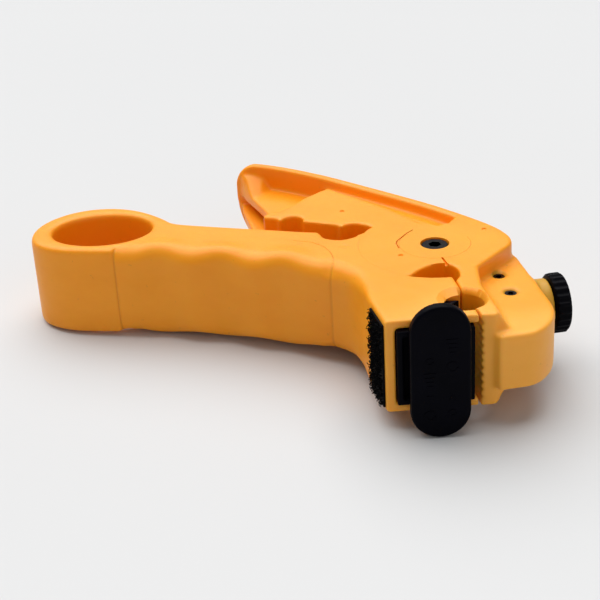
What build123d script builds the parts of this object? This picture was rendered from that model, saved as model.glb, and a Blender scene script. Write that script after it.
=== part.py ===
from build123d import *
from math import atan2, cos, degrees, hypot, pi, radians, sin
import os

# One-hand cable stripping tool: a handle with a finger ring, a sprung squeeze lever, a slide-out
# V-block cassette and a knob that sets the depth of a jacket blade.
# Frame: origin on the axis of the clamped cable at mid thickness, +Z along that cable,
# +X along the grip from the finger ring towards the jaws. Millimetres.

# ---- driving dimensions ----
thickness = 25.0          # overall thickness of both mouldings
pivot_x = -12.6           # lever pivot axis
pivot_y = 30.4
jaw_angle = 25.0          # direction in which the lever jaw opens, from +X
front_angle = 19.2        # direction of the head's front face, from +X
ring_x = -104.6           # centre of the finger ring
ring_y = 26.2
ring_long = 27.4          # finger hole, long and short width
ring_short = 20.2
ring_turn = 16.5          # the hole's long axis, from +X
ring_wall = 2.2           # least wall between the finger hole and the grip
grip_back = 33.2          # straight inner edge of the grip
grip_start_x = -96.6      # seam beside the ring
grip_end_x = -36.2        # seam beside the head
grip_seam = 0.12          # hairline seam around the finger grip
grip_rib_half = 3.0       # stiffening rib that the finger grip slides over
groove_pitch = 17.5       # finger grooves
groove_depth = 0.7
groove_x = -84.5          # middle of the first groove
rim_round = 1.0           # edge rounding of the handle moulding
grip_round = 4.2          # edge rounding of the finger grip

disc_radius = 20.0        # round shoulder of the lever
disc_gap = 0.2            # running gap between the shoulder and its seat
seat_start = 172.0        # the seat's first angle around the pivot
jaw_face = 0.6            # handle's jaw face, measured along the jaw direction
jaw_gap = 0.25            # gap between the closed jaws
nest_radius = 5.0         # round cable nest

tongue_half = 3.5         # half thickness of the handle's pivot tongue
washer_thick = 0.5
washer_radius = 5.2
cheek_gap = 0.1           # lever cheek to thrust washer
cheek = tongue_half + washer_thick + cheek_gap
hub_radius = 9.2          # tongue's round end
bush_radius = 3.0
screw_radius = 2.0        # M4 pivot screw
screw_fit = 0.04          # running clearance on the pivot screw
screw_head_radius = 3.5
screw_head_height = 4.0
socket_flats = 3.0
nut_flats = 7.0
nut_thick = 3.2
cover_radius = 9.3        # round spring cover around the pivot screw
cover_thick = 1.8
cover_gap = 0.15
spring_floor = cheek + 0.8      # torsion spring's annular pocket
spring_inner = 4.7
spring_outer = 8.4
spring_mean = 6.6
spring_wire = 0.6         # wire radius
spring_turns = 3.25
spring_leg_angle = 225.0
nut_top = -8.2

channel_wall = 2.5        # head walls around the cassette channel
channel_depth = 13.7
channel_skin = 2.3        # skins above and below the channel
cassette_gap = 0.15
cassette_width = 18.7     # along the front face
plate_width = 14.6        # cassette's face plate
plate_height = 35.4
plate_thick = 2.6
plate_gap = 2.2           # face plate to the head's front face
plate_shift = 0.6         # face plate's middle from the block's, towards the jaws
block_proud = 1.2         # block in front of the head
wide_notch = 5.4          # half openings of the cassette's two V notches
narrow_notch = 3.4
patch_long = 10.0         # hook patch on the head's outer wall
patch_tall = 22.2
patch_thick = 1.5

deck_top = 5.5            # thumb deck near the tip
deck_thick = 3.3
palm_top = -0.6           # body under the thumb deck
wall = 2.8                # lever's tall back wall
shallow = 2.3             # recess along the back wall
tip_x = -82.6             # far end of the lever
tip_round = 7.0           # top corner of the back wall's end
arm_start = 0.31          # where the full-height arm starts along the back curve

jaw_half = 7.5            # half thickness of the stepped lever jaw
jaw_back = 22.8           # flat outer side of the jaw, along the jaw direction
column_right = 6.2        # full-height rib behind the jaw face
jaw_front_s = -12.4
jaw_teeth = 11
jaw_tooth_pitch = 2.0
knob_s = 15.0             # knob axis, measured along the jaw face from the nest
neck_radius = 6.7
neck_length = 3.5
knob_radius = 7.8
knob_thick = 3.9
knob_ridges = 24
knob_gap = 0.3
knob_start = jaw_back + neck_length + knob_gap
stem_radius = 2.0
stem_fit = 0.04
carrier_travel = 2.1      # blade carrier stroke over three knob turns
carrier_in = 11.2         # blade carrier along the jaw direction, wound right back
carrier_out = 17.2
carrier_low = 8.9         # and along the jaw face
carrier_high = 21.1
carrier_half = 4.2
carrier_gap = 0.1
cavity_out = 19.6
nose_half = 1.8           # carrier's nose that holds the depth blade
nose_tall = 1.6
grub_u = 14.85            # grub screws beside the knob axis
grub_s = (10.0, 20.0)
grub_radius = 1.5
cover_screw_s = (6.2, 23.8)
cover_screw_radius = 0.9
plate_low = 4.0           # jaw's bottom cover along the jaw face
plate_high = 25.8
jaw_plate_thick = 1.5
coax_blade_z = (3.4, -3.4)
blade_thick = 0.6
blade_fit = 0.05
lever_swing = 7.5         # degrees of squeeze

half = thickness / 2
head_seat = half - screw_head_height - 0.3    # pivot screw head bears here
channel_half = half - channel_skin
block_top = channel_half - cassette_gap
spring_pitch = (half - cover_thick - spring_floor - 2 * spring_wire - 0.2) / spring_turns
leaf_x = pivot_x - disc_radius    # the long opening ends at the round shoulder
pivot = Vector(pivot_x, pivot_y)


def head(u, s):
    """Point from jaw coordinates: u across the jaw face, s along it away from the front."""
    a = radians(jaw_angle)
    return (u * cos(a) - s * sin(a), u * sin(a) + s * cos(a))


front_corner = (-16.4, -15.3)   # head's front corner on the ring side


def front(a, b):
    """Point from front-face coordinates: a along the face, b into the head."""
    f = radians(front_angle)
    x = front_corner[0] + a * cos(f) - b * sin(f)
    y = front_corner[1] + a * sin(f) + b * cos(f)
    return (x, y)


def polar(radius, angle):
    """Point at a radius and an angle in degrees around the lever pivot."""
    return (pivot_x + radius * cos(radians(angle)), pivot_y + radius * sin(radians(angle)))


def slab(shape, low, high):
    """Plan face raised from one height to another."""
    return extrude(Pos(0, 0, low) * shape, amount=high - low, dir=(0, 0, 1))


def sheet(points):
    """Straight-sided plan face."""
    return make_face(Polyline(*points, close=True))


def disc(radius, centre=(pivot_x, pivot_y)):
    """Round plan face."""
    return Pos(centre[0], centre[1]) * Circle(radius)


def flat_edges(solid, height):
    """Edges that lie in the plane of one height."""
    return [e for e in solid.edges() if abs(e.bounding_box().min.Z - height) < 1e-4
            and abs(e.bounding_box().max.Z - height) < 1e-4]


def jaw_plane(u, s, z=0.0):
    """Plane across the knob axis: x along the jaw face, z outwards."""
    x, y = head(u, s)
    a = radians(jaw_angle)
    return Plane(origin=(x, y, z), x_dir=(-sin(a), cos(a), 0), z_dir=(cos(a), sin(a), 0))


def write(shape, node):
    """One STEP file per node."""
    export_step(shape, "parts/" + node + ".step")


# ---- handle ----


def grip_edge():
    """Near side of the grip with its finger grooves."""
    points = []
    count = 16
    for i in range(count + 1):
        x = grip_start_x + (grip_end_x - grip_start_x) * i / count
        t = (x - grip_start_x) / (grip_end_x - grip_start_x)
        base = 12.9 + 9.6 * t - 10.9 * t ** 2 + 0.2 * t ** 6
        fade = min(1, 4 * t, 4 * (1 - t))
        points.append((x, base + fade * groove_depth * cos(2 * pi * (x - groove_x) / groove_pitch)))
    return points


def seat_end_angle():
    """Angle at which the seat reaches the jaw face."""
    a = radians(jaw_angle)
    along = pivot_x * cos(a) + pivot_y * sin(a)
    radius = disc_radius + disc_gap
    return jaw_angle - degrees(pi - atan2((radius ** 2 - (along - jaw_face) ** 2) ** 0.5,
                                          along - jaw_face)) + 360


def handle_outline():
    """Whole handle in plan: ring, grip, head, nest and the lever's seat."""
    near = grip_edge()
    radius = disc_radius + disc_gap
    end = seat_end_angle()
    nest_rise = (nest_radius ** 2 - jaw_face ** 2) ** 0.5
    lug_u = 1.1
    low = head(jaw_face, -nest_rise)
    lug_back = head(lug_u, -6.4)
    lug_front = front(22.5, 0)
    side = (-22.9, -3.7)
    ring_near = [near[0], (-104.5, 11.8), (-113.5, 11.8), (-120.6, 15.4), (-123.5, 23.0),
                 (-121.5, 31.6), (-115.0, 38.6), (-105.5, 41.4), (-96.5, 39.7), (-88.6, 35.2),
                 (-79.5, grip_back)]
    leaf = [(leaf_x - 15.0, grip_back), (leaf_x - 12.4, 33.3), (leaf_x - 10.6, 31.2),
            (leaf_x - 8.4, 28.9), (leaf_x - 4.6, 28.0), polar(radius, seat_start)]
    edges = Line(front_corner, side)
    edges += Spline(side, (-26.4, 3.6), (-30.6, 9.0), near[-1])
    edges += Spline(*reversed(near))
    edges += Spline(*ring_near, tangents=[(-1, -0.1), (1, 0)])
    edges += Line(ring_near[-1], leaf[0])
    edges += Spline(*leaf, tangents=[(1, 0), (0.3, 1)])
    edges += ThreePointArc(leaf[-1], polar(radius, (seat_start + end) / 2), polar(radius, end))
    edges += Line(polar(radius, end), head(jaw_face, nest_rise))
    edges += ThreePointArc(head(jaw_face, nest_rise), head(-nest_radius, 0), low)
    edges += Polyline(low, lug_back, lug_front, front_corner)
    return make_face(edges)


def finger_hole(grown):
    """Oval finger hole in plan, grown by a margin."""
    oval = Ellipse(ring_long / 2 + grown, ring_short / 2 + grown)
    return Pos(ring_x, ring_y) * Rot(0, 0, ring_turn) * oval


def grip_region(gap):
    """Plan region of the finger grip, grown by a gap."""
    x0 = grip_start_x - gap
    x1 = grip_end_x + gap
    top = 26.4 + gap
    edges = Polyline((x1, 0), (x0, 0), (x0, 21.5), (x0 + 6, top), (-50, top))
    edges += Spline((-50, top), (-43.4 + gap, 25.4), (-38.6 + gap, 19.6), (x1, 12.0), (x1, 0),
                    tangents=[(1, 0), (0, -1)])
    return make_face(edges) - finger_hole(ring_wall - gap)



def channel_box(low_a, high_a, low_b, high_b, low_z, high_z):
    """Block aligned with the front face."""
    corners = [front(low_a, low_b), front(high_a, low_b), front(high_a, high_b), front(low_a, high_b)]
    return slab(sheet(corners), low_z, high_z)


def tongue():
    """Pivot leaf that reaches from the seat into the lever."""
    root = disc_radius + disc_gap + 2.0
    blade = sheet([polar(0, 0), polar(root, 197), polar(root, 224), polar(root, 252)])
    plan = disc(hub_radius) + blade
    web = slab(plan, -tongue_half, tongue_half)
    bore = slab(disc(bush_radius), -half, half)
    leg_hole = slab(disc(spring_wire + 0.15, polar(spring_mean, spring_leg_angle)), 0, half)
    return web - bore - leg_hole


def handle():
    """Handle moulding: ring, cored grip, head and tongue."""
    body = slab(handle_outline(), -half, half)
    outer = [e for e in flat_edges(body, half) + flat_edges(body, -half)
             if e.center().X < grip_start_x - 6 or (e.center().Y > grip_back - 1 and e.length > 30)]
    body = fillet(outer, rim_round)
    body -= slab(finger_hole(0), -half, half)
    rims = [e for e in flat_edges(body, half) + flat_edges(body, -half)
            if hypot(e.bounding_box().center().X - ring_x, e.bounding_box().center().Y - ring_y) < 1]
    body = fillet(rims, rim_round)
    core = slab(grip_region(0), -half, half)
    rib = slab(sheet([(grip_start_x + 7, 19.5), (grip_end_x - 9, 18.6), (grip_end_x - 9, 40),
                      (grip_start_x + 7, 40)]), -grip_rib_half, grip_rib_half)
    body -= core - rib
    channel = channel_box(channel_wall, 30, -5, channel_depth, -channel_half, channel_half)
    body -= channel
    spring_bed = channel_box(1.1, channel_wall + 1, 6.2, 12.4, -3.2, 3.2)
    body -= spring_bed
    return body + tongue()


def finger_grip():
    """Finger grip moulding with its finger grooves."""
    plan = handle_outline() & grip_region(-grip_seam)
    grip = slab(plan, -half, half)
    near = [e for e in flat_edges(grip, half) + flat_edges(grip, -half)
            if e.center().Y < 17.5 and e.length > 30]
    grip = fillet(near, grip_round)
    slot = slab(sheet([(grip_start_x + 6.9, 19.4), (grip_end_x - 8.9, 18.5), (grip_end_x - 8.9, 40),
                       (grip_start_x + 6.9, 40)]), -grip_rib_half, grip_rib_half)
    return grip - slot


def hook_patch():
    """Hook-and-loop patch on the head's outer wall."""
    a = Vector(-22.9, -3.7)
    b = Vector(*front_corner)
    along = (b - a).normalized()
    out = Vector(along.Y, -along.X)
    start = b - along * (patch_long + 0.7)
    end = b - along * 0.7
    face = sheet([(p.X, p.Y) for p in (start, end, end + out * patch_thick, start + out * patch_thick)])
    return slab(face, -patch_tall / 2, patch_tall / 2)


def cassette():
    """Reversible V-block with its face plate."""
    a0 = channel_wall + cassette_gap
    a1 = a0 + cassette_width
    depth = channel_depth - 0.4
    centre_b = 9.05
    front_b = -block_proud
    block = channel_box(a0, a1, front_b, depth, -block_top, block_top)
    wide = sheet([front(a1 + 0.1, centre_b - wide_notch - 0.1), front(a1 - wide_notch, centre_b),
                  front(a1 + 0.1, centre_b + wide_notch + 0.1)])
    narrow = sheet([front(a0 - 0.1, centre_b - narrow_notch - 0.1), front(a0 + narrow_notch, centre_b),
                    front(a0 - 0.1, centre_b + narrow_notch + 0.1)])
    block -= slab(wide, -half, half) + slab(narrow, -half, half)
    window = channel_box(a0 + 1.6, a1 - 1.6, front_b - 1, 1.6, -block_top + 1.6, block_top - 1.6)
    stem = channel_box(a0 + 5.2, a1 - 5.2, front_b - 1, 2, -block_top + 0.8, block_top - 0.8)
    block -= window - stem
    jaw_side = sheet([head(jaw_face - 0.1, nest_radius - 0.5), head(9, nest_radius - 0.5), head(9, 30),
                      head(jaw_face - 0.1, 30)])
    block -= slab(jaw_side, -half, half)
    middle = front((a0 + a1) / 2 + plate_shift, -plate_gap)
    f = radians(front_angle)
    face = Plane(origin=(middle[0], middle[1], 0), x_dir=(cos(f), sin(f), 0), z_dir=(sin(f), -cos(f), 0))
    obround = face * Rot(0, 0, 90) * SlotOverall(plate_height, plate_width)
    plate = extrude(obround, amount=plate_thick, dir=face.z_dir)
    tip = [e for e in plate.edges() if (e.center() - face.origin).dot(face.z_dir) > plate_thick - 0.01]
    plate = fillet(tip, 0.7)
    neck = channel_box(a0 + 5.2, a1 - 5.2, -plate_gap - 0.1, front_b + 0.4,
                       -block_top + 0.8, block_top - 0.8)
    return block + neck + plate


def detent_spring():
    """Bowed leaf that holds the cassette in the channel."""
    face = sheet([front(1.15, 6.3), front(2.0, 6.3), front(2.35, 9.3), front(2.0, 12.3),
                  front(1.15, 12.3), front(1.15, 11.7), front(1.6, 11.6), front(1.95, 9.3),
                  front(1.6, 7.0), front(1.15, 6.9)])
    return slab(face, -3.0, 3.0)


def pivot_bush():
    """Sleeve pressed into the tongue."""
    ring = disc(bush_radius) - disc(screw_radius + screw_fit)
    top = tongue_half + washer_thick
    return slab(ring, -top, top)


def thrust_washers():
    """Two flat washers beside the tongue."""
    ring = disc(washer_radius) - disc(bush_radius + 0.05)
    upper = slab(ring, tongue_half, tongue_half + washer_thick)
    lower = slab(ring, -tongue_half - washer_thick, -tongue_half)
    return Compound([upper, lower])


# ---- lever ----


def back_curve(shift):
    """Lever's back edge from the tip to the jaw step, moved inwards by a shift."""
    points = [(tip_x, 80.7), (-74.0, 80.1), (-65.6, 78.2), (-54.6, 74.2), (-34.4, 64.6), (-18.6, 56.6),
              (-5.2, 48.4), (3.0, 42.0), (6.3, 37.6), (6.8, 33.0)]
    curve = Spline(*points)
    if shift == 0:
        return curve
    moved = []
    for i in range(13):
        t = i / 12
        p = curve @ t
        d = curve % t
        moved.append((p.X + d.Y * shift, p.Y - d.X * shift))
    return Spline(*moved)


def lever_plan():
    """Full-height part of the lever in plan."""
    back = back_curve(0)
    leaf_tip = polar(disc_radius, 157.5)
    nest_low = head(jaw_face + jaw_gap, -4.9)
    tear = [polar(disc_radius, 262.5), (-13.2, 14.9), (-11.2, 17.3), (-8.4, 18.7), (-5.6, 17.7),
            (-3.7, 14.9), (-3.2, 12.2), head(jaw_face + jaw_gap, 10.6)]
    edges = Line(back @ 1, head(8.4, 16.6))
    edges += Line(head(8.4, 16.6), head(column_right, 6))
    edges += Line(head(column_right, 6), head(column_right, -8.6))
    edges += ThreePointArc(head(column_right, -8.6), head(column_right - 0.5, -9.6),
                           head(column_right - 1.5, -10.0))
    edges += Polyline(head(column_right - 1.5, -10.0), head(1.6, -9.4), head(1.6, -6.4), nest_low)
    edges += ThreePointArc(nest_low, head(nest_radius - 0.2, -0.2),
                           head(jaw_face + jaw_gap, 4.9))
    edges += Line(head(jaw_face + jaw_gap, 4.9), tear[-1])
    edges += Spline(*reversed(tear))
    edges += ThreePointArc(tear[0], polar(disc_radius, 210), leaf_tip)
    edges += Spline(leaf_tip, (leaf_x - 0.7, 39.6), (leaf_x - 4.0, 40.1), (leaf_x - 6.0, 38.9),
                    tangents=[(-0.4, 1), (-0.8, -1)])
    edges += Polyline((leaf_x - 6.0, 38.9), (leaf_x - 6.9, 37.4), (leaf_x - 8.4, 38.5), (-50.9, 39.4))
    edges += ThreePointArc((-50.9, 39.4), (-53.8, 42.6), (-56.8, 39.8))
    edges += Polyline((-56.8, 39.8), (-57.4, 39.4), (-58.6, 40.4), (-62.4, 40.5), (-63.0, 42.6))
    edges += Spline((-63.0, 42.6), (-59.0, 46.2), (-55.4, 53.4), (-50.6, 62.4), back_curve(wall) @ arm_start)
    edges += Line(back_curve(wall) @ arm_start, back @ arm_start)
    edges += back.trim(arm_start, 1)
    return make_face(edges)



def jaw_plan():
    """Stepped part of the lever jaw in plan."""
    edges = Line(head(jaw_face + jaw_gap + 3, 17), head(jaw_face + jaw_gap + 3, -9))
    edges += Line(head(jaw_face + jaw_gap + 3, -9), head(5.5, jaw_front_s))
    edges += Line(head(5.5, jaw_front_s), head(11.5, jaw_front_s))
    edges += Spline(head(11.5, jaw_front_s), head(18.4, -8.9), head(jaw_back, 3.0),
                    tangents=[head(1, 0), head(0, 1)])
    edges += Line(head(jaw_back, 3.0), head(jaw_back, 30))
    edges += Polyline(head(jaw_back, 30), head(19, 33.5), head(9, 24), head(jaw_face + jaw_gap + 3, 17))
    return make_face(edges)


def jaw_ramp():
    """Slopes between the full-height lever and the stepped jaw, one side."""
    foot = half - jaw_half
    upper = [head(7.3, 16.4), head(21.6, 28.6), head(21.6, 31.0), head(4.0, 19.0)]
    profile = [(0, 0), (0, foot), (3.4, 0)]
    a = atan2(upper[1][1] - upper[0][1], upper[1][0] - upper[0][0])
    edge_plane = Plane(origin=(upper[0][0], upper[0][1], jaw_half), x_dir=(sin(a), -cos(a), 0),
                       z_dir=(cos(a), sin(a), 0))
    long_ramp = extrude(edge_plane * make_face(Polyline(*profile, close=True)), amount=17.2)
    low = head(column_right - 0.4, -9.2)
    side_plane = Plane(origin=(low[0], low[1], jaw_half), x_dir=(cos(radians(jaw_angle)),
                       sin(radians(jaw_angle)), 0), z_dir=(sin(radians(jaw_angle)),
                       -cos(radians(jaw_angle)), 0))
    side = [(0, 0), (0, foot), (2.9, 0)]
    side_ramp = extrude(side_plane * make_face(Polyline(*side, close=True)), amount=-26.0)
    return long_ramp + side_ramp


def arm_pockets():
    """Recesses of the squeeze arm: shallow top recess and coring underneath."""
    inner = back_curve(wall)
    points = [inner @ (arm_start + 0.02 + 0.38 * i / 6) for i in range(7)]
    top_points = [(p.X, p.Y) for p in points] + [(-11.0, 45.5), (-13.4, 41.6), (-17.6, 42.6), (-30.0, 52.4),
                                                 (-48.0, 64.0)]
    top = slab(sheet(top_points), half - shallow, half + 1)
    under_points = [(p.X, p.Y) for p in points[:5]] + [(-26.5, 53.5), (-32.0, 44.0), (-49.5, 45.0),
                                                       (-54.5, 51.0)]
    under = slab(sheet(under_points), -half - 1, half - shallow - deck_thick)
    return top + under


def tip_outline():
    """Elevation of the rounded lever end, as a block along Y."""
    corner = tip_round * (1 - cos(radians(45)))
    edges = Polyline((tip_x + tip_round, half), (0, half), (0, -half), (tip_x + 6.4, -half))
    edges += Spline((tip_x + 6.4, -half), (tip_x + 3.5, -10.2), (tip_x + 0.7, -3.0), (tip_x, 3.0),
                    (tip_x, half - tip_round), tangents=[(-1, 0), (0, 1)])
    edges += ThreePointArc((tip_x, half - tip_round), (tip_x + corner, half - corner),
                           (tip_x + tip_round, half))
    return extrude(Plane.XZ * make_face(edges), amount=100, both=True)


def tip_shell():
    """Back wall, thumb deck and lower body beyond the full-height arm."""
    back = back_curve(0)
    inner = back_curve(wall)
    past = arm_start + 0.01
    edges = back.trim(0, past)
    edges += Line(back @ past, inner @ past)
    edges += inner.trim(0, past)
    edges += Line(inner @ 0, back @ 0)
    wall_solid = slab(make_face(edges), -half, half)
    deck = make_face(Polyline((-55.4, 53.4), (-50.6, 62.4), inner @ past) +
                     inner.trim(0.10, past) +
                     Spline(inner @ 0.10, (-69.0, 72.0), (-64.0, 64.0), (-61.0, 55.0), (-55.4, 53.4)))
    palm = make_face(Polyline((-55.4, 53.4), (-50.6, 62.4), inner @ past) +
                     inner.trim(0.04, past) +
                     Spline(inner @ 0.04, (-75.6, 70.8), (-71.4, 61.0), (-67.6, 52.0), (-62.6, 43.2)) +
                     Polyline((-62.6, 43.2), (-59.0, 46.4), (-55.4, 53.4)))
    lower = slab(palm, -half, palm_top)
    shell = wall_solid + slab(deck, deck_top - deck_thick, deck_top) + lower
    return shell & tip_outline()


def thumb_ramp():
    """Slope that rises from the thumb deck to the arm."""
    rise = half - deck_top
    edge_plane = Plane(origin=(-53.0, 58.0, deck_top - deck_thick), x_dir=(-0.882, 0.471, 0),
                       z_dir=(0.471, 0.882, 0))
    profile = Polyline((-1, 0), (7.5, 0), (7.5, deck_thick), (0, rise + deck_thick),
                       (-1, rise + deck_thick), close=True)
    return extrude(edge_plane * make_face(profile), amount=4.5, both=True)




def pivot_details():
    """Everything cut out of the lever around its pivot."""
    slot_start = 197 - lever_swing - 3
    reach = disc_radius + 4
    slot = disc(hub_radius + 0.35) + sheet([polar(0, 0), polar(reach, slot_start), polar(reach, 220),
                                            polar(reach, 254)])
    cut = slab(slot, -cheek, cheek)
    cut += slab(disc(screw_radius), -half, half)
    cut += slab(disc(cover_radius + cover_gap) + cover_key(cover_gap), half - cover_thick, half)
    cut += slab(disc(spring_inner), head_seat, half)
    annulus = disc(spring_outer) - disc(spring_inner)
    cut += slab(annulus, spring_floor, half)
    leg = sheet([polar(5.4, spring_leg_angle - lever_swing - 9), polar(5.4, spring_leg_angle + 9),
                 polar(8.0, spring_leg_angle + 7), polar(8.0, spring_leg_angle - lever_swing - 7)])
    cut += slab(leg, 0, spring_floor)
    hexagon = Pos(pivot_x, pivot_y) * RegularPolygon(nut_flats / 2, 6, major_radius=False)
    cut += slab(hexagon, -half, nut_top)
    return cut


def cover_key(gap):
    """Pointed key that stops the spring cover turning."""
    return sheet([polar(8.0, 142), polar(cover_radius + 0.3 + gap, 142 - 4 * gap),
                  polar(cover_radius + 1.9 + gap, 180), polar(cover_radius + 0.3 + gap, 207),
                  polar(8.0, 207)])


def jaw_box(u0, u1, s0, s1, z0, z1):
    """Block aligned with the jaw."""
    return slab(sheet([head(u0, s0), head(u1, s0), head(u1, s1), head(u0, s1)]), z0, z1)


def jaw_details():
    """Everything cut out of the lever jaw."""
    cavity = jaw_box(carrier_in - carrier_travel - 0.3, cavity_out, carrier_low - carrier_gap,
                     carrier_high + carrier_gap, jaw_plate_thick - jaw_half, carrier_half + 0.2)
    gate = jaw_box(0, carrier_in, knob_s - nose_half - carrier_gap, knob_s + nose_half + carrier_gap,
                   -nose_tall - carrier_gap, nose_tall + carrier_gap)
    lid = jaw_box(7.9, 20.6, plate_low, plate_high, -half - 1, jaw_plate_thick - jaw_half)
    bore = extrude(jaw_plane(cavity_out - 1, knob_s) * Circle(stem_radius + stem_fit), amount=20)
    cut = cavity + gate + lid + bore
    for s in grub_s:
        cut += slab(disc(grub_radius, head(grub_u, s)), carrier_half, half)
    for s in cover_screw_s:
        cut += slab(disc(cover_screw_radius, head(grub_u, s)), -jaw_half, -1.4)
    cut += slab(disc(nest_radius - 0.1, head(0, -0.2)), -half, half)
    for z in coax_blade_z:
        cut += coax_blade(z)
    for i in range(jaw_teeth):
        z = (i - (jaw_teeth - 1) / 2) * jaw_tooth_pitch
        notch = sheet([head(1.5, -9.9), head(2.15, -9.9), head(2.15, -6.5), head(1.5, -6.5)])
        cut += slab(notch, z - 0.5, z + 0.5)
    return cut


def coax_blade(z):
    """One blade facing the cable nest, centred on a height."""
    return jaw_box(4.0, 10.2, -3.2, 3.2, z - blade_thick / 2, z + blade_thick / 2)


def cutter_blade():
    """Trapezoid blade that cuts pair cable in the long opening."""
    face = sheet([(-46.5, 38.2), (-34.8, 38.9), (-34.8, 43.5), (-46.5, 43.5)])
    return slab(face, -blade_thick / 2, blade_thick / 2)


def notch_blade():
    """Small blade across the arched notch."""
    face = sheet([(-56.0, 41.5), (-51.6, 41.5), (-51.6, 45.4), (-56.0, 45.4)])
    return slab(face, 5.0, 5.0 + blade_thick)


def neck():
    """Round neck that carries the knob."""
    return extrude(jaw_plane(jaw_back - 0.5, knob_s) * Circle(neck_radius), amount=neck_length + 0.5)


def lever():
    """Squeeze lever moulding: arm, round shoulder, clevis cheeks and jaw."""
    body = slab(lever_plan(), -half, half) + tip_shell() + thumb_ramp()
    body += slab(jaw_plan(), -jaw_half, jaw_half)
    ramps = jaw_ramp()
    body += ramps + mirror(ramps, about=Plane.XY) + neck()
    body -= arm_pockets() + pivot_details() + jaw_details()
    return body - cutter_blade() - notch_blade()


def spring_cover():
    """Keyed disc over the torsion spring."""
    plan = disc(cover_radius) + cover_key(0)
    plate = slab(plan, half - cover_thick + 0.02, half - 0.05)
    return plate - slab(disc(screw_head_radius + 0.35), 0, half)


def torsion_spring():
    """Closing spring with one leg in the tongue and one against the lever."""
    low = spring_floor + spring_wire + 0.1
    path = Pos(pivot_x, pivot_y, low) * Rot(0, 0, spring_leg_angle) * Helix(spring_pitch, spring_pitch * spring_turns, spring_mean)
    start = path @ 0
    coil = sweep(Plane(origin=start, z_dir=path % 0) * Circle(spring_wire), path=path)
    leg = Pos(start.X, start.Y, 0.4) * Cylinder(spring_wire, start.Z - 0.4 + 0.3,
                                               align=(Align.CENTER, Align.CENTER, Align.MIN))
    return coil + leg


def pivot_screw():
    """M4 socket-head screw through the lever and the tongue."""
    base = Pos(pivot_x, pivot_y, 0)
    shank = slab(disc(screw_radius), -11.9, head_seat)
    cap = slab(disc(screw_head_radius), head_seat, head_seat + screw_head_height)
    rim = [e for e in flat_edges(cap, head_seat + screw_head_height)]
    cap = fillet(rim, 0.35)
    socket = slab(base * RegularPolygon(socket_flats / 2, 6, major_radius=False),
                  head_seat + screw_head_height - 2.2, half + 1)
    return shank + cap - socket


def pivot_nut():
    """M4 hexagon nut in the lower cheek."""
    hexagon = Pos(pivot_x, pivot_y) * RegularPolygon(nut_flats / 2, 6, major_radius=False)
    return slab(hexagon - disc(screw_radius), nut_top - nut_thick, nut_top)


# ---- depth adjuster ----
def adjuster_knob():
    """Ridged knob."""
    base = jaw_plane(knob_start, knob_s)
    knob = extrude(base * Circle(knob_radius), amount=knob_thick)
    rims = [e for e in knob.edges() if e.geom_type == GeomType.CIRCLE]
    knob = chamfer(rims, 0.6)
    for i in range(knob_ridges):
        groove = base * Rot(0, 0, 360 * i / knob_ridges) * Pos(knob_radius + 0.35, 0) * Circle(0.8)
        knob -= extrude(groove, amount=knob_thick)
    return knob - adjuster_core()


def adjuster_core():
    """Stem and its knurled root as one turned blank."""
    stem = extrude(jaw_plane(12.0, knob_s) * Circle(stem_radius), amount=knob_start + 2.6 - 12.0)
    return stem


def retaining_clip():
    """Ring that keeps the stem in the jaw."""
    ring = Circle(3.6) - Circle(stem_radius)
    return extrude(jaw_plane(cavity_out - 1.1, knob_s) * ring, amount=0.9)


def blade_carrier():
    """Carrier that the stem screws in and out."""
    body = jaw_box(carrier_in, carrier_out, carrier_low, carrier_high, -carrier_half, carrier_half)
    body += jaw_box(4.6, carrier_in, knob_s - nose_half, knob_s + nose_half, -nose_tall, nose_tall)
    body -= extrude(jaw_plane(carrier_in - 0.8, knob_s) * Circle(stem_radius + stem_fit), amount=12)
    return body - depth_blade()


def depth_blade():
    """Blade edge that meets the cable jacket."""
    face = sheet([head(3.4, knob_s - 1.5), head(4.2, knob_s + 1.7), head(8.6, knob_s + 1.7),
                  head(8.6, knob_s - 1.5)])
    return slab(face, -blade_thick / 2, blade_thick / 2)


def grub_screws():
    """Two socket grub screws over the carrier."""
    solids = []
    for s in grub_s:
        x, y = head(grub_u, s)
        screw = slab(disc(grub_radius, (x, y)), carrier_half + 0.3, jaw_half - 0.5)
        solids.append(screw - slab(Pos(x, y) * RegularPolygon(0.75, 6, major_radius=False),
                                   jaw_half - 1.9, jaw_half))
    return Compound(solids)


def jaw_cover():
    """Flat cover under the carrier cavity."""
    plate = jaw_box(8.0, 20.5, plate_low + 0.1, plate_high - 0.1, -jaw_half, jaw_plate_thick - jaw_half)
    for s in cover_screw_s:
        plate -= slab(disc(cover_screw_radius, head(grub_u, s)), -jaw_half, 0)
        plate -= slab(disc(1.8, head(grub_u, s)), -jaw_half, -jaw_half + 0.8)
    return plate


def cover_screws():
    """Two small screws that hold the jaw cover."""
    solids = []
    for s in cover_screw_s:
        spot = head(grub_u, s)
        screw = slab(disc(cover_screw_radius - 0.02, spot), -jaw_half + 0.8, -1.6) + slab(disc(1.75, spot), -jaw_half + 0.1,
                                                                   -jaw_half + 0.8)
        solids.append(screw)
    return Compound(solids)


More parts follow.
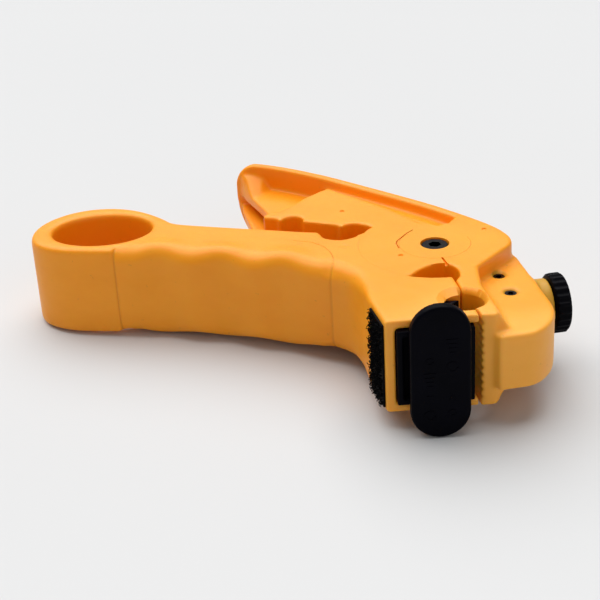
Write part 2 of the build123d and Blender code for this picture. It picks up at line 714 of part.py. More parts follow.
nodes = {
    "handle": handle,
    "finger_grip": finger_grip,
    "hook_patch": hook_patch,
    "detent_spring": detent_spring,
    "pivot_bush": pivot_bush,
    "thrust_washers": thrust_washers,
    "v_block_cassette": cassette,
    "squeeze_lever": lever,
    "spring_cover": spring_cover,
    "torsion_spring": torsion_spring,
    "pivot_screw": pivot_screw,
    "pivot_nut": pivot_nut,
    "cutter_blade": cutter_blade,
    "notch_blade": notch_blade,
    "coax_blade_upper": lambda: coax_blade(coax_blade_z[0]),
    "coax_blade_lower": lambda: coax_blade(coax_blade_z[1]),
    "grub_screws": grub_screws,
    "jaw_cover": jaw_cover,
    "cover_screws": cover_screws,
    "adjuster_knob": adjuster_knob,
    "adjuster_stem": adjuster_core,
    "retaining_clip": retaining_clip,
    "blade_carrier": blade_carrier,
    "depth_blade": depth_blade,
}

os.makedirs("parts", exist_ok=True)
for node, make in nodes.items():
    write(make(), node)
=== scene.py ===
import math
import random

import bmesh
import bpy
from mathutils import Matrix, Vector


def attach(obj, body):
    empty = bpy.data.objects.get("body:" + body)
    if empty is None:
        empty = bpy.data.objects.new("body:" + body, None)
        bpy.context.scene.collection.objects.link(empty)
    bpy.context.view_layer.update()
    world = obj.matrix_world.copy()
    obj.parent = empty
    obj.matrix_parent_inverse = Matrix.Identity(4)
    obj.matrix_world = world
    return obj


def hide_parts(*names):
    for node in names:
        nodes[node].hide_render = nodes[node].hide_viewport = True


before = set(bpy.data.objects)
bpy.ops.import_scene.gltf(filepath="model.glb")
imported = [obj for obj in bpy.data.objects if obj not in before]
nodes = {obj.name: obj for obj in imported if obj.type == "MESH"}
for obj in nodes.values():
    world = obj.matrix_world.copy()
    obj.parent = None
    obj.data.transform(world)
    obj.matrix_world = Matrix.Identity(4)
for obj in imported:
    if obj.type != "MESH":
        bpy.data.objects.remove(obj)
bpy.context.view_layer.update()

MM = 0.001
HALF = 12.5               # half thickness of both mouldings
PIVOT = (-12.6, 30.4)     # lever pivot in plan
SEAM_RADIUS = 20.1        # round parting line between lever and handle
SEAM_GAP = 0.012          # half of the gap in it
GRIP_SEAMS = (-96.3, -36.3)   # seams at the grip's two ends
SEAM_REACH = 0.40         # half width of a grip seam
GROOVE_PITCH = 17.5       # finger grooves
VOXEL = 0.36              # mesh cell of the two yellow mouldings
CREASE = 48               # edges sharper than this many degrees stay crisp
JAW_TURN = math.radians(25)       # jaw direction in plan
PLATE_TURN = math.radians(19.2)   # face plate direction in plan
HEAD_CORNER = (-16.4, -15.3)      # where the elbow meets the head's front


# ---- materials ----
def new_material(name):
    """Node material with a principled shader; returns the material, its tree and the shader."""
    material = bpy.data.materials.new(name)
    material.use_nodes = True
    tree = material.node_tree
    return material, tree, tree.nodes["Principled BSDF"]


def noise(tree, scale, detail=3.0, roughness=0.5, stretch=(1, 1, 1)):
    """Noise texture on object coordinates."""
    place = tree.nodes.new("ShaderNodeTexCoord")
    mapping = tree.nodes.new("ShaderNodeMapping")
    mapping.inputs["Scale"].default_value = stretch
    texture = tree.nodes.new("ShaderNodeTexNoise")
    texture.inputs["Scale"].default_value = scale
    texture.inputs["Detail"].default_value = detail
    texture.inputs["Roughness"].default_value = roughness
    tree.links.new(place.outputs["Object"], mapping.inputs["Vector"])
    tree.links.new(mapping.outputs["Vector"], texture.inputs["Vector"])
    return texture.outputs["Fac"]


def ramp(tree, value, stops):
    """Colour ramp over a value; stops are (position, colour)."""
    node = tree.nodes.new("ShaderNodeValToRGB")
    while len(node.color_ramp.elements) < len(stops):
        node.color_ramp.elements.new(0.5)
    for element, (position, colour) in zip(node.color_ramp.elements, stops):
        element.position = position
        element.color = (*colour, 1)
    tree.links.new(value, node.inputs["Fac"])
    return node.outputs["Color"]


def remap(tree, value, start, end, low, high):
    """Map a value from one range to another."""
    node = tree.nodes.new("ShaderNodeMapRange")
    node.inputs["From Min"].default_value = start
    node.inputs["From Max"].default_value = end
    node.inputs["To Min"].default_value = low
    node.inputs["To Max"].default_value = high
    tree.links.new(value, node.inputs["Value"])
    return node.outputs["Result"]


def mix(tree, factor, first, second):
    """Mix two colours by a factor; a colour may be a plain tuple."""
    node = tree.nodes.new("ShaderNodeMix")
    node.data_type = "RGBA"
    sockets = [s for s in node.inputs if s.type == "RGBA"]
    for socket, colour in zip(sockets, (first, second)):
        if isinstance(colour, tuple):
            socket.default_value = (*colour, 1)
        else:
            tree.links.new(colour, socket)
    tree.links.new(factor, node.inputs["Factor"])
    return [s for s in node.outputs if s.type == "RGBA"][0]


def bump(tree, shader, height, distance):
    """Bump from a height value, in metres."""
    node = tree.nodes.new("ShaderNodeBump")
    node.inputs["Distance"].default_value = distance
    node.inputs["Strength"].default_value = 1.0
    tree.links.new(height, node.inputs["Height"])
    tree.links.new(node.outputs["Normal"], shader.inputs["Normal"])


def mark(tree, name):
    """Painted vertex value on the mesh."""
    node = tree.nodes.new("ShaderNodeAttribute")
    node.attribute_name = name
    return node.outputs["Fac"]


def moulded_yellow():
    """Semi-gloss amber plastic: flow marks, paler head, painted shade in the recesses and painted shade
    in the seams.
    """
    material, tree, shader = new_material("amber_moulding")
    cloud = noise(tree, 45, 4, 0.6, (1, 1, 1.6))
    base = ramp(tree, cloud, [(0.32, (0.90, 0.315, 0.006)), (0.68, (0.95, 0.350, 0.012))])
    pale = ramp(tree, cloud, [(0.32, (0.90, 0.400, 0.045)), (0.68, (0.94, 0.440, 0.065))])
    colour = mix(tree, mark(tree, "pale"), base, pale)
    colour = mix(tree, mark(tree, "olive"), colour, (0.42, 0.27, 0.025))
    # Painted shade: recesses are drawn a more saturated orange, standing in for their occlusion.
    colour = mix(tree, mark(tree, "painted_recess_shade"), colour, (0.93, 0.300, 0.000))
    # Painted shade: seams and the line mark are drawn darker brown, standing in for their occlusion.
    colour = mix(tree, mark(tree, "painted_crease_shade"), colour, (0.55, 0.20, 0.006))
    specks = ramp(tree, noise(tree, 700, 2, 0.5), [(0.70, (0, 0, 0)), (0.76, (1, 1, 1))])
    faint = remap(tree, specks, 0, 1, 0, 0.25)
    colour = mix(tree, faint, colour, (0.35, 0.16, 0.02))
    tree.links.new(colour, shader.inputs["Base Color"])
    rough = remap(tree, noise(tree, 160, 5, 0.65), 0.3, 0.7, 0.36, 0.50)
    tree.links.new(rough, shader.inputs["Roughness"])
    shader.inputs["Subsurface Weight"].default_value = 0.25
    shader.inputs["Subsurface Radius"].default_value = (1.0, 0.30, 0.05)
    shader.inputs["Subsurface Scale"].default_value = 0.0025
    shader.inputs["Specular IOR Level"].default_value = 0.32
    bump(tree, shader, noise(tree, 1100, 4, 0.6), 0.00002)
    return material


def moulded_black(name, colour, rough, grain):
    """Satin black plastic."""
    material, tree, shader = new_material(name)
    shade = ramp(tree, noise(tree, 150, 4), [(0.3, colour), (0.7, tuple(1.7 * c for c in colour))])
    scuffs = ramp(tree, noise(tree, 500, 6, 0.7), [(0.66, (0, 0, 0)), (0.74, (1, 1, 1))])
    shade = mix(tree, remap(tree, scuffs, 0, 1, 0, 0.06), shade, (0.06, 0.06, 0.07))
    tree.links.new(shade, shader.inputs["Base Color"])
    tree.links.new(remap(tree, noise(tree, 400, 4), 0.3, 0.7, rough - 0.06, rough + 0.08),
                   shader.inputs["Roughness"])
    shader.inputs["Specular IOR Level"].default_value = 0.035
    bump(tree, shader, noise(tree, grain, 3), 0.00002)
    return material


def metal(name, colour, rough, stretch):
    """Ground or turned steel with fine lines."""
    material, tree, shader = new_material(name)
    shader.inputs["Metallic"].default_value = 1.0
    lines = noise(tree, 900, 4, 0.6, stretch)
    shade = ramp(tree, lines, [(0.3, tuple(0.8 * c for c in colour)), (0.7, colour)])
    tree.links.new(shade, shader.inputs["Base Color"])
    tree.links.new(remap(tree, lines, 0.3, 0.7, rough - 0.08, rough + 0.1), shader.inputs["Roughness"])
    bump(tree, shader, lines, 0.000006)
    return material


yellow = moulded_yellow()
black = moulded_black("black_moulding", (0.0008, 0.0008, 0.0022), 0.40, 1400)
black_knob = moulded_black("black_knob", (0.0012, 0.0012, 0.0022), 0.36, 1200)
hook_black = moulded_black("black_hook_tape", (0.0012, 0.0012, 0.0016), 0.5, 2000)
steel = metal("turned_steel", (0.55, 0.55, 0.56), 0.3, (1, 1, 6))
spring_steel = metal("spring_steel", (0.46, 0.45, 0.43), 0.32, (1, 1, 1))
blade = metal("blade_steel", (0.62, 0.62, 0.63), 0.2, (5, 1, 1))
dark_steel = metal("black_oxide_steel", (0.006, 0.006, 0.008), 0.34, (1, 1, 4))

finishes = {
    "handle": yellow, "finger_grip": yellow, "squeeze_lever": yellow, "spring_cover": yellow,
    "jaw_cover": yellow, "hook_patch": hook_black, "v_block_cassette": black,
    "adjuster_knob": black_knob, "blade_carrier": black, "pivot_screw": dark_steel,
    "grub_screws": dark_steel, "cutter_blade": blade, "notch_blade": blade,
    "coax_blade_upper": blade, "coax_blade_lower": blade, "depth_blade": blade,
    "torsion_spring": spring_steel, "detent_spring": spring_steel,
}
for name, node in nodes.items():
    for mesh_slot in node.material_slots:
        mesh_slot.material = finishes.get(name, steel)


# ---- mesh tools ----
def link(name, mesh, material):
    """Object for a finished mesh."""
    piece = bpy.data.objects.new(name, mesh)
    mesh.materials.clear()
    mesh.materials.append(material)
    bpy.context.scene.collection.objects.link(piece)
    return piece


def solid_between(first, second):
    """Closed solid between two rings of points with the same number of points, millimetres."""
    work = bmesh.new()
    bottom = [work.verts.new(Vector(point) * MM) for point in first]
    top = [work.verts.new(Vector(point) * MM) for point in second]
    work.faces.new(bottom[::-1])
    work.faces.new(top)
    count = len(bottom)
    for i in range(count):
        j = (i + 1) % count
        work.faces.new((bottom[i], bottom[j], top[j], top[i]))
    bmesh.ops.recalc_face_normals(work, faces=work.faces)
    return work


def loft(low_points, high_points, low, high):
    """Closed solid between two plan outlines at two heights."""
    return solid_between([(x, y, low) for x, y in low_points], [(x, y, high) for x, y in high_points])


def prism(points, low, high):
    """Closed prism over plan points."""
    return loft(points, points, low, high)


def both_sides(points, inner):
    """The same prism from a height to the near face, and mirrored to the far face."""
    return [prism(points, inner, HALF), prism(points, -HALF, -inner)]


def around(radius, angle, centre):
    """Plan point at a radius and an angle in degrees."""
    a = math.radians(angle)
    return (centre[0] + radius * math.cos(a), centre[1] + radius * math.sin(a))


def sector(inner, outer, start, end):
    """Plan outline of part of a ring round the pivot."""
    steps = max(6, int((end - start) / 3))
    angles = [start + (end - start) * i / steps for i in range(steps + 1)]
    outside = [around(outer, a, PIVOT) for a in angles]
    inside = [around(inner, a, PIVOT) for a in angles[::-1]]
    return outside + inside


def circle(radius, centre, steps):
    """Plan outline of a circle."""
    return [around(radius, 360 * i / steps, centre) for i in range(steps)]


def add_to(work, other):
    """Move one bmesh's faces into another."""
    mesh = bpy.data.meshes.new("part")
    other.to_mesh(mesh)
    other.free()
    work.from_mesh(mesh)
    bpy.data.meshes.remove(mesh)


def node_mesh(name, grow=0.0):
    """Welded copy of a CAD node's mesh, optionally grown along its normals (millimetres)."""
    work = bmesh.new()
    work.from_mesh(nodes[name].data)
    bmesh.ops.remove_doubles(work, verts=work.verts, dist=1e-7)
    if grow:
        work.normal_update()
        for v in work.verts:
            v.co += v.normal * grow * MM
    return work


def bake(piece):
    """Apply all modifiers of an object."""
    graph = bpy.context.evaluated_depsgraph_get()
    mesh = bpy.data.meshes.new_from_object(piece.evaluated_get(graph))
    old = piece.data
    piece.modifiers.clear()
    piece.data = mesh
    bpy.data.meshes.remove(old)


def remesh(piece, voxel):
    """Rebuild a mesh as one even skin."""
    modifier = piece.modifiers.new("remesh", "REMESH")
    modifier.mode = "VOXEL"
    modifier.voxel_size = voxel * MM
    bake(piece)


def remeshed(name, work, voxel, material):
    """Object whose mesh is the voxel union of everything in a bmesh."""
    mesh = bpy.data.meshes.new(name)
    work.to_mesh(mesh)
    work.free()
    piece = link(name, mesh, material)
    remesh(piece, voxel)
    return piece


def smooth(piece, passes, weight=None):
    """Round edges by relaxing vertices; weight(co in mm) gives 0..1 for each vertex."""
    modifier = piece.modifiers.new("relax", "SMOOTH")
    modifier.factor = 0.5
    modifier.iterations = passes
    if weight:
        group = piece.vertex_groups.new(name="relax")
        for v in piece.data.vertices:
            value = weight(v.co / MM)
            if value > 0.004:
                group.add([v.index], value, "REPLACE")
        modifier.vertex_group = "relax"
    bake(piece)
    piece.vertex_groups.clear()


def carve(piece, cutters, operation="DIFFERENCE"):
    """Boolean with one or more closed cutters."""
    for cutter in cutters:
        mesh = bpy.data.meshes.new("cutter")
        cutter.to_mesh(mesh)
        cutter.free()
        tool = bpy.data.objects.new("cutter", mesh)
        bpy.context.scene.collection.objects.link(tool)
        modifier = piece.modifiers.new("cut", "BOOLEAN")
        modifier.operation = operation
        modifier.solver = "MANIFOLD"
        modifier.object = tool
        bake(piece)
        bpy.data.objects.remove(tool)
        bpy.data.meshes.remove(mesh)


def fade(value, start, end):
    """0 before start, 1 after end, smooth between."""
    t = min(1.0, max(0.0, (value - start) / (end - start)))
    return t * t * (3 - 2 * t)


def paint(piece, values):
    """Store named vertex values; values maps a name to a function of point (mm) and normal."""
    for name, function in values.items():
        layer = piece.data.attributes.new(name, "FLOAT", "POINT")
        for v, item in zip(piece.data.vertices, layer.data):
            item.value = function(v.co / MM, v.normal)


def finish(piece, body, slot, *replaced):
    """Smooth shading, body and the nodes that the piece stands for; the slot argument is not used."""
    piece.data.shade_smooth()
    piece.data.set_sharp_from_angle(angle=math.radians(CREASE))
    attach(piece, body)
    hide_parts(*replaced)


def from_pivot(co):
    """Distance from the pivot axis, millimetres."""
    return math.hypot(co.x - PIVOT[0], co.y - PIVOT[1])


def jaw(co):
    """Jaw coordinates of a point: u across the jaw face, s along it."""
    c, s = math.cos(JAW_TURN), math.sin(JAW_TURN)
    return (co.x * c + co.y * s, -co.x * s + co.y * c)


def strip(points, width):
    """Plan outline of a thin line along points."""
    left, right = [], []
    for i, (x, y) in enumerate(points):
        x0, y0 = points[max(i - 1, 0)]
        x1, y1 = points[min(i + 1, len(points) - 1)]
        size = math.hypot(x1 - x0, y1 - y0)
        nx, ny = -(y1 - y0) / size * width / 2, (x1 - x0) / size * width / 2
        left.append((x + nx, y + ny))
        right.append((x - nx, y - ny))
    return left + right[::-1]


def from_line(co, points):
    """Plan distance from a point to a line of points."""
    best = 1e9
    for (x0, y0), (x1, y1) in zip(points, points[1:]):
        dx, dy = x1 - x0, y1 - y0
        t = ((co.x - x0) * dx + (co.y - y0) * dy) / (dx * dx + dy * dy)
        t = min(1.0, max(0.0, t))
        best = min(best, math.hypot(co.x - x0 - t * dx, co.y - y0 - t * dy))
    return best


def cone(centre, low_radius, high_radius, low, high, steps=64):
    """Closed cone frustum along Z, millimetres."""
    return loft(circle(low_radius, centre, steps), circle(high_radius, centre, steps), low, high)


# ---- handle ----
def handle_softness(co):
    """How much each part of the handle is rounded."""
    ring = 1 - fade(co.x, -96, -84)
    grip_side = (1 - fade(co.y, 20, 27)) * (1 - fade(co.x, -34, -28))
    elbow = (1 - fade(co.x, -27, -20)) * (1 - fade(co.y + 0.6 * co.x, -8, 2))
    back = (1 - fade(co.x, -52, -44)) * 0.6
    return min(1.0, max(ring, grip_side, elbow, back, 0.10))


# near edge of the elbow, from the grip to the head
ELBOW = [(-37.5, 12.6), (-34.2, 11.4), (-30.6, 9.0), (-28.4, 6.4), (-26.4, 3.6), (-24.4, -0.6),
         (-22.9, -3.7), HEAD_CORNER]
# corner of the handle that stands into the long opening
HORN = [(-43.6, 30.6), (-42.0, 29.5), (-40.0, 29.0), (-37.8, 29.1), (-35.8, 30.1), (-33.9, 32.2),
        (-32.7, 34.9), (-28.0, 33.0), (-28.0, 26.0), (-43.0, 26.0)]
# curved seam on the handle's top, from the grip's end
TOP_SEAM = [(-36.3, 15.6), (-37.0, 18.0), (-38.6, 21.1), (-40.9, 23.9), (-44.6, 26.0), (-50.0, 26.3)]


def round_elbow(piece):
    """Roll the elbow's near edges over, from the grip's radius down to the head's."""
    for v in piece.data.vertices:
        co = v.co / MM
        if co.x < -39 or co.x > -17 or abs(co.z) < 7.5:
            continue
        radius = 4.2 - 3.2 * fade(co.x, -31, -21)
        reach = from_line(co, ELBOW)
        if reach < radius:
            limit = HALF - radius + math.sqrt(radius ** 2 - (radius - reach) ** 2)
            v.co.z = math.copysign(min(abs(co.z), limit) * MM, co.z)


def groove_grip(piece):
    """Dip the grip's edges at the finger grooves, and sink its two side seams."""
    for v in piece.data.vertices:
        co = v.co / MM
        near = (1 - fade(co.y, 15.5, 24.0)) * fade(co.x, -95, -88) * (1 - fade(co.x, -44, -37))
        wave = 0.5 + 0.5 * math.cos(2 * math.pi * (co.x + 84.5) / GROOVE_PITCH)
        lift = -1.15 * wave * near * fade(abs(co.z), 3, 11)
        v.co.z += math.copysign(lift * MM, co.z)
        for x in GRIP_SEAMS:
            depth = 0.24 * max(0.0, 1 - abs(co.x - x) / SEAM_REACH)
            if depth and co.y < 15 and abs(v.normal.y) > 0.25:
                v.co -= v.normal * depth * MM


def make_handle():
    """Handle and finger grip as one flush moulding with hairline seams on the grip's side."""
    work = node_mesh("handle")
    add_to(work, node_mesh("finger_grip", 0.09))
    for fill in both_sides(sector(18.0, 21.6, 172.5, 261), 4.6) + both_sides(HORN, 4.6):
        add_to(work, fill)
    piece = remeshed("handle_moulding", work, VOXEL, yellow)
    round_elbow(piece)
    remesh(piece, VOXEL)
    smooth(piece, 40, handle_softness)
    smooth(piece, 3)
    groove_grip(piece)
    seat = circle(SEAM_RADIUS + SEAM_GAP, PIVOT, 240)
    carve(piece, [
        prism(seat, 4.3, 14),
        prism(seat, -14, -4.3),
        cone((0, 0), 5.0, 7.0, 10.9, 12.9),
        cone((0, 0), 6.6, 5.0, -12.9, -11.3),
        prism(strip(TOP_SEAM, 0.13), HALF - 0.3, 13),
    ])
    paint(piece, {
        "pale": lambda co, n: 0.75 * fade(co.x - 0.8 * co.y, -14, 2),
        "olive": lambda co, n: 0.0,
        # painted shade in the finger hole and the long opening
        "painted_recess_shade": handle_painted_shade,
        # painted shade in the grip's side seams
        "painted_crease_shade": seam_painted_shade,
    })
    finish(piece, "handle", "yellow_moulding", "handle", "finger_grip")


def handle_painted_shade(co, n):
    """Painted shade: more saturated inside the finger hole and in the long opening."""
    hole = math.hypot((co.x + 104.6) / 14.2, (co.y - 26.2) / 11.2)
    value = 0.75 * (1 - fade(hole, 0.95, 1.1)) * (1 - fade(abs(n.z), 0.3, 0.8))
    if co.y > 27 and -60 < co.x < -30:
        value = max(value, 1 - fade(abs(n.z), 0.3, 0.8))
    return value


def seam_painted_shade(co, n):
    """Painted shade: darker line in the grip's side seams."""
    if co.y > 15 or abs(n.y) < 0.2:
        return 0.0
    return max(0.5 * max(0.0, 1 - abs(co.x - x) / SEAM_REACH) for x in GRIP_SEAMS)


# ---- lever ----
def lever_softness(co):
    """How much each part of the lever is rounded."""
    u, s = jaw(co)
    tip = (1 - fade(co.x, -58, -50)) * 0.85
    line = from_line(co, [(-54, 66), (-33, 55), (-14, 45)])
    gutter = 0.9 * (1 - fade(line, 6.0, 8.0)) * fade(co.z, 8, 9)
    back = fade(co.x * 0.45 + co.y, 47.5, 50) * 0.45
    step = fade(u, 5.2, 7.5) * (1 - fade(co.y, 38, 44)) * 0.95
    column = fade(-s, 6.6, 8) * fade(u, 3.0, 4.2) * 0.6
    knob = fade(u, 22.6, 23.2)
    return min(1.0, max(tip, gutter, back, step, column, 0.12) * (1 - knob) + 0.12 * knob)


# gutter along the inside of the back wall: narrow at its floor, wide at the arm's top face
GUTTER_LOW = [(-54.0, 70.9), (-45.0, 66.6), (-32.0, 60.2), (-20.0, 54.0), (-10.5, 48.2),
              (-12.0, 46.8), (-21.0, 51.9), (-33.0, 58.0), (-46.0, 64.4), (-53.6, 68.4)]
GUTTER_HIGH = [(-54.0, 71.1), (-45.0, 66.8), (-32.0, 60.4), (-20.0, 54.2), (-10.0, 48.4),
               (-13.6, 41.0), (-19.6, 44.0), (-31.0, 51.0), (-45.0, 59.5), (-52.4, 65.0)]
# thumb deck at the lever's end
DECK = [(-81.6, 78.8), (-78.4, 73.6), (-73.4, 67.4), (-68.2, 60.6), (-64.4, 54.6),
        (-61.0, 49.6), (-56.0, 53.0), (-60.0, 64.0), (-66.0, 74.0), (-74.0, 78.6)]
# body under the deck; its inner side slopes outwards to the deck's edge
BODY_BACK = [(-63.0, 42.9), (-59.0, 47.0), (-64.0, 62.0), (-70.0, 78.0)]
BODY_LOW = [(-76.0, 79.0), (-75.4, 71.0), (-73.4, 64.0), (-69.5, 55.0), (-65.4, 47.2)] + BODY_BACK
BODY_HIGH = [(-81.9, 79.6), (-79.7, 73.4), (-75.2, 65.0), (-70.2, 56.0), (-65.6, 47.6)] + BODY_BACK
# shoulder that fills the deck's outer end
SHOULDER_LOW = [(-81.4, 79.0), (-78.6, 74.0), (-74.6, 68.9), (-72.6, 71.0), (-70.6, 77.0),
                (-76.0, 79.0)]
SHOULDER_HIGH = [(-81.6, 79.2), (-80.6, 77.6), (-79.0, 76.6), (-76.6, 76.8), (-74.0, 77.8),
                 (-76.0, 79.2)]
# angled line mark beside the pivot, and the short mark between pivot and nest
LINE_MARK = [(-19.9, 38.0), (-21.2, 35.2), (-22.6, 30.2), (-22.5, 28.6), (-21.2, 25.8)]
SHORT_MARK = [(-9.5, 21.9), (-9.0, 22.1), (-7.1, 18.6), (-7.7, 18.4)]
# small dimples in the lever's top face
DIMPLES = ((-41.7, 47.7), (-1.3, 41.4), (-19.9, 21.7))
# grub screws, in jaw coordinates
GRUBS = ((14.85, 10.0), (14.85, 20.0))


def make_lever():
    """Squeeze lever with its spring cover, as one moulding with a fine parting ring."""
    work = node_mesh("squeeze_lever")
    add_to(work, node_mesh("spring_cover", 0.10))
    for fill in both_sides(sector(15.0, 22.4, 159.5, 260.5), 4.9):
        add_to(work, fill)
    add_to(work, prism(DECK, 2.4, 5.5))
    add_to(work, loft(BODY_LOW, BODY_HIGH, -HALF, -0.3))
    add_to(work, loft(SHOULDER_LOW, SHOULDER_HIGH, 5.2, 9.4))
    piece = remeshed("squeeze_lever_moulding", work, VOXEL, yellow)
    carve(piece, [loft(GUTTER_LOW, GUTTER_HIGH, HALF - 3.0, HALF + 0.6)])
    remesh(piece, VOXEL)
    smooth(piece, 26, lever_softness)
    smooth(piece, 2)
    for v in piece.data.vertices:
        if from_pivot(v.co / MM) < 13 and v.co.z > 12.0 * MM:
            v.co.z = HALF * MM
    carve(piece, [
        prism(sector(SEAM_RADIUS - SEAM_GAP, 24.5, 157.3, 263.5), -14, 14),
        prism(sector(9.30, 9.38, 150, 395), HALF - 0.25, 13),
        prism(strip(LINE_MARK, 0.34), HALF - 0.5, 13),
        prism(SHORT_MARK, HALF - 0.8, 13),
        cone((0, 0), 4.8, 6.4, 11.1, 12.9),
        cone((0, 0), 6.2, 4.8, -12.9, -11.4),
    ])
    carve(piece, [cone(spot, 0.5, 0.9, HALF - 0.35, HALF + 0.3, 20) for spot in DIMPLES])
    paint(piece, {
        "pale": lambda co, n: lever_pale(co),
        "olive": lambda co, n: lever_olive(co),
        # painted shade under the back wall, in the openings and under the thumb deck
        "painted_recess_shade": lever_painted_shade,
        # painted shade on the walls of the line mark
        "painted_crease_shade": mark_painted_shade,
    })
    finish(piece, "lever", "yellow_lever_moulding", "squeeze_lever", "spring_cover")


def mark_painted_shade(co, n):
    """Painted shade: darker walls in the line mark."""
    near = 1 - fade(from_line(co, LINE_MARK), 0.1, 0.5)
    return 0.75 * near * fade(co.z, 11.9, 12.2) * (1 - fade(n.z, 0.5, 0.95))


def lever_painted_shade(co, n):
    """Painted shade: more saturated under the back wall, in the openings and under the thumb deck."""
    side = 1 - fade(abs(n.z), 0.4, 0.85)
    value = 0.0
    if co.x < -28 and co.y < 50:
        value = side
    if co.x < -52 and -1.5 < co.z < 3.0:
        value = max(value, 0.9)
    line = from_line(co, [(-80, 78), (-66, 76), (-54, 71.5), (-33, 61), (-12, 49)])
    value = max(value, 0.7 * (1 - fade(line, 1.5, 9.0)) * fade(co.z, -2, 3))
    if math.hypot(co.x + 7.5, co.y - 14) < 7:
        value = max(value, side)
    return value


def lever_pale(co):
    """Paler towards the jaw's front and the nest."""
    u, s = jaw(co)
    return 0.8 * fade(-s, -4, 8) * fade(u, 0, 1)


def lever_olive(co):
    """Olive tint on the knob's neck and around the grub screws."""
    u, s = jaw(co)
    value = 0.75 * fade(u, 22.4, 23.0)
    level = fade(co.z, 6, 7.3) * (1 - fade(co.z, 7.6, 8.2))
    for grub_u, grub_s in GRUBS:
        reach = math.hypot(u - grub_u, s - grub_s)
        value = max(value, 0.6 * (1 - fade(reach, 1.5, 3.0)) * level)
    return value


# ---- cassette ----
def plate_prism(points, proud):
    """Raised shape on the face plate; points are across and up the plate from its middle."""
    along = Vector((math.cos(PLATE_TURN), math.sin(PLATE_TURN), 0))
    out = Vector((math.sin(PLATE_TURN), -math.cos(PLATE_TURN), 0))
    middle = Vector((*HEAD_CORNER, 0)) + along * 12.6 + out * 4.8
    rings = [[middle + along * a + out * depth + Vector((0, 0, z)) for a, z in points]
             for depth in (-0.4, proud)]
    return solid_between(*rings)


def ring_points(a, z, outer, inner, steps=20):
    """Outline of a nearly closed ring, as two arcs."""
    angles = [2 * math.pi * (0.02 + 0.96 * i / steps) for i in range(steps + 1)]
    outside = [(a + outer * math.cos(t), z + outer * math.sin(t)) for t in angles]
    inside = [(a + inner * math.cos(t), z + inner * math.sin(t)) for t in angles[::-1]]
    return outside + inside


def make_cassette():
    """V-block with its face plate and generic raised marks: arrows, cable rings and gauge bars."""
    piece = remeshed("v_block_moulding", node_mesh("v_block_cassette"), 0.24, black)
    smooth(piece, 6)
    marks = []
    arrow_down = [(-3.6, -5.8), (-2.7, -7.4), (-1.8, -5.8)]
    arrow_up = [(1.8, -7.4), (3.6, -7.4), (2.7, -5.8)]
    columns = ((-2.7, arrow_down, -11.4, 3.4, -3.6), (2.7, arrow_up, 1.6, -10.9, 5.2))
    for a, arrow, large_z, small_z, bars_z in columns:
        marks.append(arrow)
        marks.append(ring_points(a, large_z, 1.5, 1.0))
        marks.append(ring_points(a, small_z, 1.0, 0.6))
        for k in range(4):
            z = bars_z + 1.15 * k
            reach = 0.7 + 0.25 * k
            marks.append([(a - reach, z), (a + reach, z), (a + reach, z + 0.45), (a - reach, z + 0.45)])
    carve(piece, [plate_prism(points, 0.13) for points in marks], "UNION")
    finish(piece, "cassette", "black_moulding", "v_block_cassette")


# ---- knob ----
def make_knob():
    """Ridged knob with softened edges."""
    piece = remeshed("knob_moulding", node_mesh("adjuster_knob"), 0.2, black_knob)
    smooth(piece, 3)
    finish(piece, "knob", "black_knob", "adjuster_knob")


# ---- hook patch ----
def make_patch():
    """Woven base with hundreds of small hooks."""
    corner = Vector(HEAD_CORNER)
    along = (corner - Vector(ELBOW[-2])).normalized()
    out = Vector((along.y, -along.x))
    length, tall, base = 10.0, 22.2, 0.5
    start = corner - along * (length + 0.7)
    random.seed(5)
    work = bmesh.new()

    def place(a, b, z):
        p = start + along * a + out * b
        return Vector((p.x, p.y, z)) * MM

    columns, rows = 20, 44
    grid = []
    for i in range(columns + 1):
        line = []
        for j in range(rows + 1):
            rise = base + 0.06 * ((i + j) % 2)
            line.append(work.verts.new(place(length * i / columns, rise, tall * (j / rows - 0.5))))
        grid.append(line)
    back = [[work.verts.new(place(length * i, 0.02, tall * (j - 0.5))) for j in (0, 1)] for i in (0, 1)]
    for i in range(columns):
        for j in range(rows):
            work.faces.new((grid[i][j], grid[i][j + 1], grid[i + 1][j + 1], grid[i + 1][j]))
    work.faces.new((back[0][0], back[1][0], back[1][1], back[0][1]))
    work.faces.new([grid[i][0] for i in range(columns + 1)] + [back[1][0], back[0][0]])
    work.faces.new([grid[i][rows] for i in range(columns, -1, -1)] + [back[0][1], back[1][1]])
    work.faces.new([grid[0][j] for j in range(rows, -1, -1)] + [back[0][0], back[0][1]])
    work.faces.new([grid[columns][j] for j in range(rows + 1)] + [back[1][1], back[1][0]])
    hooks = 620
    margin = 0.1
    steps = 6
    for _ in range(hooks):
        a = random.uniform(margin, length - margin)
        z = random.uniform(-tall / 2 + margin, tall / 2 - margin)
        lean = random.uniform(0, 2 * math.pi)
        height = random.uniform(0.5, 0.95)
        spread = random.uniform(0.2, 0.55)
        path = []
        for k in range(steps + 1):
            t = k / steps
            b = base + height * math.sin(math.pi * 0.62 * t) / math.sin(math.pi * 0.5)
            shift = spread * (t ** 1.6) * 2 - spread * 0.4
            path.append(place(a + shift * math.cos(lean), b, z + shift * math.sin(lean)))
        thread(work, path, 0.11 * MM)
    bmesh.ops.recalc_face_normals(work, faces=work.faces)
    mesh = bpy.data.meshes.new("hook_tape")
    work.to_mesh(mesh)
    work.free()
    piece = link("hook_tape", mesh, hook_black)
    finish(piece, "handle", "black_hook_tape", "hook_patch")


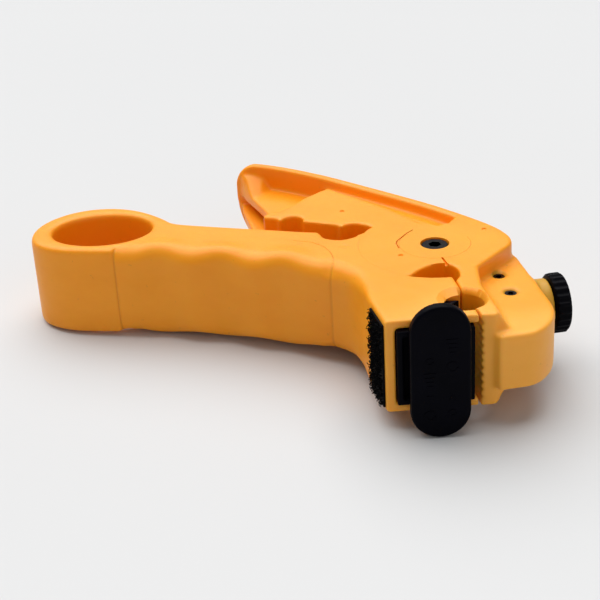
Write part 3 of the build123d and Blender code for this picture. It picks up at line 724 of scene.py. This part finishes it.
def thread(work, path, radius, sides=4):
    """Closed thin tube along points."""
    rings = []
    for k, point in enumerate(path):
        ahead = path[min(k + 1, len(path) - 1)] - path[max(k - 1, 0)]
        ahead.normalize()
        side = ahead.orthogonal().normalized()
        other = ahead.cross(side)
        size = radius * (1.0 if k < len(path) - 1 else 0.6)
        ring = []
        for q in range(sides):
            a = 2 * math.pi * q / sides
            ring.append(work.verts.new(point + size * (side * math.cos(a) + other * math.sin(a))))
        rings.append(ring)
    for first, second in zip(rings, rings[1:]):
        for q in range(sides):
            r = (q + 1) % sides
            work.faces.new((first[q], first[r], second[r], second[q]))
    work.faces.new(rings[0][::-1])
    work.faces.new(rings[-1])


# ---- floor, light and camera ----
def plane_through(p, q, r):
    """Matrix of a plane through three points, facing up."""
    normal = (q - p).cross(r - p).normalized()
    if normal.z < 0:
        normal = -normal
    side = Vector((1, 0, 0)) - normal * normal.x
    side.normalize()
    turned = Matrix((side, normal.cross(side), normal)).transposed().to_4x4()
    return Matrix.Translation(p) @ turned


def add_floor():
    """Pale floor that the face plate, the ring and the lever tip rest on."""
    material, tree, shader = new_material("pale_floor")
    tone = ramp(tree, noise(tree, 3, 2), [(0.3, (0.630, 0.635, 0.642)), (0.7, (0.640, 0.645, 0.652))])
    tree.links.new(tone, shader.inputs["Base Color"])
    shader.inputs["Roughness"].default_value = 0.95
    shader.inputs["Specular IOR Level"].default_value = 0.05
    mesh = bpy.data.meshes.new("floor")
    size = 4.0
    corners = [(-size, -size, 0), (size, -size, 0), (size, size, 0), (-size, size, 0)]
    mesh.from_pydata(corners, [], [(0, 1, 2, 3)])
    floor = link("floor", mesh, material)
    floor.matrix_world = plane_through(Vector((-5, -17, -17.8)) * MM, Vector((-122, 20, -12.6)) * MM,
                                       Vector((-74, 78, -12.6)) * MM)


def add_sun(name, direction, strength, angle, colour):
    """Broad even light from a direction."""
    data = bpy.data.lights.new(name, "SUN")
    data.energy = strength
    data.angle = math.radians(angle)
    data.color = colour
    lamp = bpy.data.objects.new(name, data)
    lamp.rotation_euler = (-Vector(direction)).to_track_quat("-Z", "Y").to_euler()
    bpy.context.scene.collection.objects.link(lamp)


def add_world(strength):
    """Even white surroundings."""
    world = bpy.data.worlds.new("studio")
    world.use_nodes = True
    world.node_tree.nodes["Background"].inputs["Color"].default_value = (1, 1, 1, 1)
    world.node_tree.nodes["Background"].inputs["Strength"].default_value = strength
    bpy.context.scene.world = world


def add_camera():
    """Camera in front of the head, looking down along the tool."""
    data = bpy.data.cameras.new("camera")
    data.lens = 84.0
    data.sensor_width = 36.0
    data.clip_start = 0.01
    data.clip_end = 20
    camera = bpy.data.objects.new("camera", data)
    forward = Vector((-0.253954, 0.857333, -0.447759))
    right = Vector((0.964550, 0.258831, -0.051471))
    up = right.cross(forward)
    turn = Matrix((right, up, -forward)).transposed().to_4x4()
    camera.matrix_world = Matrix.Translation(Vector((47.47, -299.34, 165.0)) * MM) @ turn
    bpy.context.scene.collection.objects.link(camera)
    bpy.context.scene.camera = camera


add_camera()
make_handle()
make_lever()
make_cassette()
make_knob()
make_patch()
add_floor()
add_world(0.26)
add_sun("overhead", (-0.25, 0.35, 1.0), 3.6, 75, (1.0, 0.995, 0.985))
add_sun("front", (0.75, -0.8, 0.6), 0.3, 50, (1, 1, 1))
bpy.context.scene.view_settings.view_transform = "Standard"
